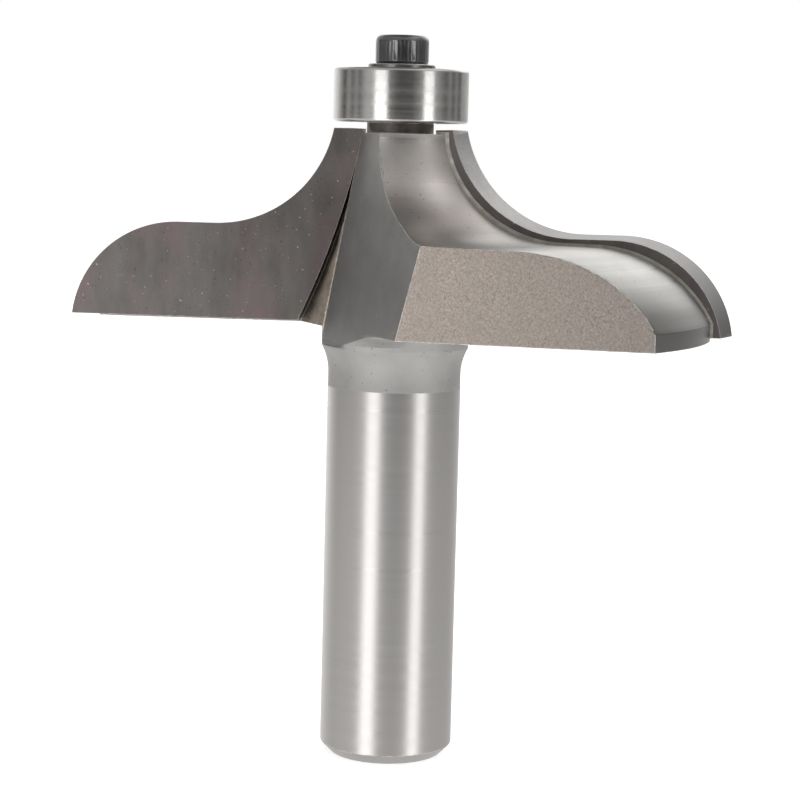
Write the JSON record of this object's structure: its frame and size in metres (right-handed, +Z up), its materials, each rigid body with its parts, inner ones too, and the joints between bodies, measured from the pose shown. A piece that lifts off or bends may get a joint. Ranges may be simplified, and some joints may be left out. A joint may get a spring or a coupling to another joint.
{
  "type": "router bit",
  "caption": "Table-edge profile cutter for a router: brazed carbide wings with a thumbnail curve, straight round shank, and a pilot ball bearing held by a socket head screw.",
  "frame": {"origin": "centre of the flat end of the shank", "axes": "+Z up the axis towards the bearing; each wing's cutting face is parallel to the XZ plane; the +X wing cuts towards +Y"},
  "size_m": [0.0634, 0.035, 0.0687],
  "materials": {
    "tool_steel": "ground shank, satin turned head, blasted flats",
    "carbide": "ground dark carbide",
    "silver_solder": "dull silver solder",
    "bearing_steel": "ground and polished",
    "pressed_steel": "bright pressed sheet",
    "blackened_steel": "darkened, worn edge",
    "black_oxide": "black oxide with a light oil"
  },
  "bodies": {
    "cutter": {"cutter_body": "tool_steel", "carbide_tip_a": "carbide", "carbide_tip_b": "carbide", "braze_seam_a": "silver_solder", "braze_seam_b": "silver_solder", "bearing_inner_ring": "bearing_steel", "washer": "blackened_steel", "cap_screw": "black_oxide"},
    "outer_race": {"bearing_outer_ring": "bearing_steel", "shield_upper": "pressed_steel", "shield_lower": "pressed_steel", "snap_ring_upper": "pressed_steel", "snap_ring_lower": "pressed_steel"},
    "cage": {"cage_upper": "pressed_steel", "cage_lower": "pressed_steel"},
    "ball_1": {"bearing_ball_1": "bearing_steel"},
    "ball_2": {"bearing_ball_2": "bearing_steel"},
    "ball_3": {"bearing_ball_3": "bearing_steel"},
    "ball_4": {"bearing_ball_4": "bearing_steel"},
    "ball_5": {"bearing_ball_5": "bearing_steel"},
    "ball_6": {"bearing_ball_6": "bearing_steel"},
    "ball_7": {"bearing_ball_7": "bearing_steel"}
  },
  "joints": [
    {"name": "bearing_spin", "type": "hinge", "parent": "cutter", "child": "outer_race", "pos_m": [0, 0, 0.06304], "axis": [0, 0, 1], "continuous": true},
    {"name": "cage_spin", "type": "hinge", "parent": "cutter", "child": "cage", "pos_m": [0, 0, 0.06304], "axis": [0, 0, 1], "continuous": true},
    {"name": "ball_spin_1", "type": "hinge", "parent": "cage", "child": "ball_1", "pos_m": [0.00437, 0, 0.06304], "axis": [0, 0, 1], "continuous": true},
    {"name": "ball_spin_2", "type": "hinge", "parent": "cage", "child": "ball_2", "pos_m": [0.00272, 0.00341, 0.06304], "axis": [0, 0, 1], "continuous": true},
    {"name": "ball_spin_3", "type": "hinge", "parent": "cage", "child": "ball_3", "pos_m": [-0.00097, 0.00426, 0.06304], "axis": [0, 0, 1], "continuous": true},
    {"name": "ball_spin_4", "type": "hinge", "parent": "cage", "child": "ball_4", "pos_m": [-0.00393, 0.00189, 0.06304], "axis": [0, 0, 1], "continuous": true},
    {"name": "ball_spin_5", "type": "hinge", "parent": "cage", "child": "ball_5", "pos_m": [-0.00393, -0.00189, 0.06304], "axis": [0, 0, 1], "continuous": true},
    {"name": "ball_spin_6", "type": "hinge", "parent": "cage", "child": "ball_6", "pos_m": [-0.00097, -0.00426, 0.06304], "axis": [0, 0, 1], "continuous": true},
    {"name": "ball_spin_7", "type": "hinge", "parent": "cage", "child": "ball_7", "pos_m": [0.00272, -0.00341, 0.06304], "axis": [0, 0, 1], "continuous": true}
  ],
  "couplings": [
    {"joint": "cage_spin", "follows": "bearing_spin", "ratio": 0.63635},
    {"joint": "ball_spin_1", "follows": "bearing_spin", "ratio": 1.6972},
    {"joint": "ball_spin_2", "follows": "bearing_spin", "ratio": 1.6972},
    {"joint": "ball_spin_3", "follows": "bearing_spin", "ratio": 1.6972},
    {"joint": "ball_spin_4", "follows": "bearing_spin", "ratio": 1.6972},
    {"joint": "ball_spin_5", "follows": "bearing_spin", "ratio": 1.6972},
    {"joint": "ball_spin_6", "follows": "bearing_spin", "ratio": 1.6972},
    {"joint": "ball_spin_7", "follows": "bearing_spin", "ratio": 1.6972}
  ]
}
